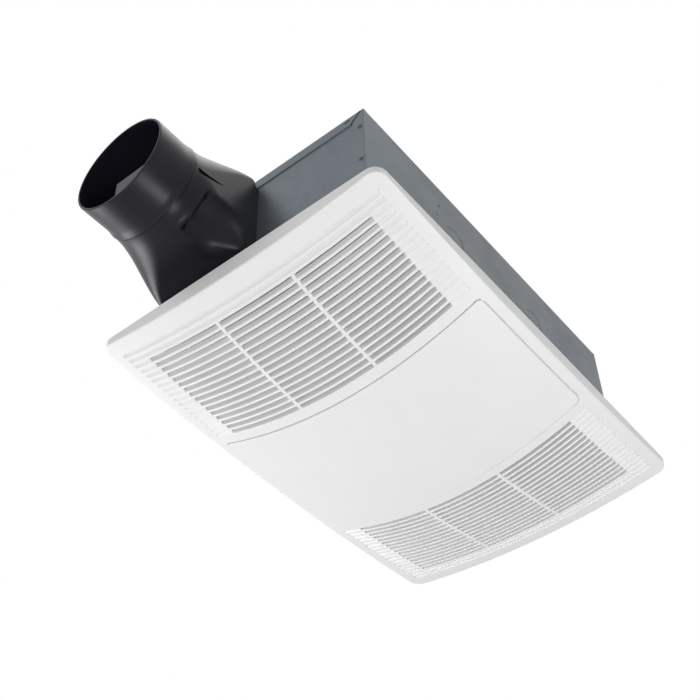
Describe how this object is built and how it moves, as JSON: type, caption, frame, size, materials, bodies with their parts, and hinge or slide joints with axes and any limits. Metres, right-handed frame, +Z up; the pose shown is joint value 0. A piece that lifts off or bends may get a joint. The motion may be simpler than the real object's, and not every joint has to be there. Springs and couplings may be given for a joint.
{
  "type": "ceiling mounted fan heater",
  "caption": "Ceiling fan heater: galvanised box with exhaust blower, heater and fan, round duct connector with damper, and a crowned white louvred grille hung on springs.",
  "frame": {"origin": "middle of the box's mouth, level with the face of the ceiling", "axes": "+Z up into the ceiling, +X the way the exhaust air leaves through the duct, +Y towards the wall with the wiring knockouts"},
  "size_m": [0.542, 0.302, 0.1987],
  "materials": {
    "galvanised_sheet": "satin",
    "zinc_fasteners": "satin",
    "white_grille": "satin",
    "white_moulding": "satin",
    "black_moulding": "matte",
    "charcoal_duct": "satin",
    "motor_steel": "satin",
    "lamination_steel": "matte",
    "copper_wire": "gloss",
    "brass_parts": "satin",
    "fan_aluminium": "satin",
    "mica_board": "matte",
    "resistance_wire": "satin",
    "spring_steel": "gloss"
  },
  "bodies": {
    "root": {"housing_wrap": "galvanised_sheet", "duct_end_wall": "galvanised_sheet", "far_end_wall": "galvanised_sheet", "wall_rivets": "zinc_fasteners", "knockout_discs": "galvanised_sheet", "wiring_cover": "galvanised_sheet", "wiring_cover_screws": "zinc_fasteners", "ground_screw": "brass_parts", "fan_socket": "white_moulding", "heater_socket": "black_moulding", "spring_rail": "galvanised_sheet", "rail_screws": "zinc_fasteners", "duct_connector": "charcoal_duct", "duct_screws": "zinc_fasteners", "damper_pin": "spring_steel", "scroll_case": "black_moulding", "inlet_plate": "galvanised_sheet", "plate_screws": "zinc_fasteners", "motor_can": "motor_steel", "motor_end_plate": "motor_steel", "motor_stator": "lamination_steel", "motor_windings": "copper_wire", "motor_bushes": "brass_parts", "motor_screws": "zinc_fasteners", "heater_box": "galvanised_sheet", "heater_plate": "galvanised_sheet", "heater_collar": "galvanised_sheet", "heater_foot_screws": "zinc_fasteners", "heater_motor_core": "lamination_steel", "heater_motor_coil": "copper_wire", "heater_motor_brackets": "motor_steel", "heater_motor_bushes": "brass_parts", "heater_motor_screws": "zinc_fasteners", "heater_motor_spacers": "motor_steel", "element_frame": "mica_board", "heating_coils": "resistance_wire", "thermal_cutout": "black_moulding", "thermal_fuse": "brass_parts", "outlet_guard": "zinc_fasteners"},
    "blower": {"blower_wheel": "black_moulding", "wheel_cup": "black_moulding", "motor_rotor": "lamination_steel", "motor_shaft": "motor_steel", "wheel_clip": "spring_steel"},
    "heater_rotor": {"heater_fan": "fan_aluminium", "heater_motor_rotor": "lamination_steel", "heater_motor_shaft": "motor_steel"},
    "damper": {"damper_flap": "charcoal_duct"},
    "grille": {"grille": "white_grille", "centre_panel": "white_grille", "spring_pins": "spring_steel", "grille_springs": "spring_steel"}
  },
  "joints": [
    {"name": "blower_spin", "type": "hinge", "parent": "root", "child": "blower", "pos_m": [0.092, 0.004, 0.086], "axis": [0, 0, 1], "continuous": true},
    {"name": "heater_fan_spin", "type": "hinge", "parent": "root", "child": "heater_rotor", "pos_m": [-0.12, -0.006, 0.084], "axis": [0, 0, 1], "continuous": true},
    {"name": "damper_swing", "type": "hinge", "parent": "root", "child": "damper", "pos_m": [0.255, -0.057, 0.1335], "axis": [0, -1, 0], "range_deg": [0, 35]},
    {"name": "grille_drop", "type": "slide", "parent": "root", "child": "grille", "axis": [0, 0, -1], "range_m": [0, 0.06], "stiffness_N_per_m": 300, "springref_m": -0.04}
  ]
}
